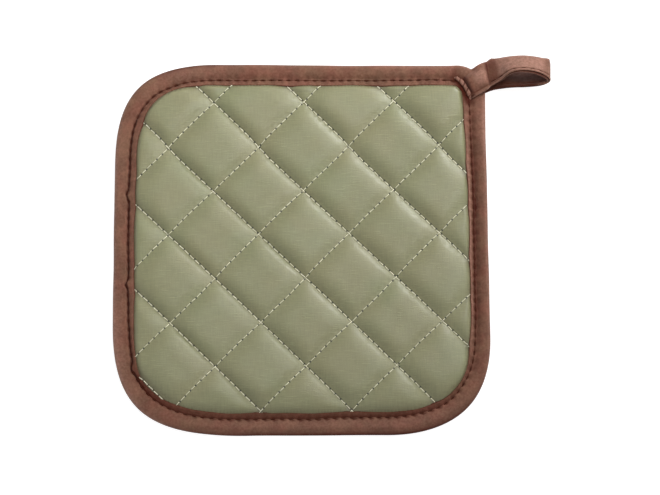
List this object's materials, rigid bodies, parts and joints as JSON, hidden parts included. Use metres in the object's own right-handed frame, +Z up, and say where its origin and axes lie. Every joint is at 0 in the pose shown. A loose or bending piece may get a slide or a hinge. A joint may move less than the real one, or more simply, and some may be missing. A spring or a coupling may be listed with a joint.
{
  "type": "pot holder",
  "caption": "Square quilted pot holder with rounded corners, diamond stitching, a bound edge and a hanging loop at one corner, lying flat.",
  "frame": {"origin": "middle of the square, on the flat back that it rests on", "axes": "+Z up out of the quilted face, +Y towards the edge that is uppermost in use, +X towards the side whose upper corner carries the hanging loop"},
  "size_m": [0.2357, 0.2071, 0.0196],
  "materials": {
    "quilted_cloth": "matte slub cotton, sage green, diamond quilted with a pale thread",
    "binding_tape": "matte cotton bias tape, warm brown, stitched in the same brown"
  },
  "bodies": {
    "root": {"quilted_pad": "quilted_cloth", "binding": "binding_tape", "hanging_loop": "binding_tape"}
  },
  "joints": []
}
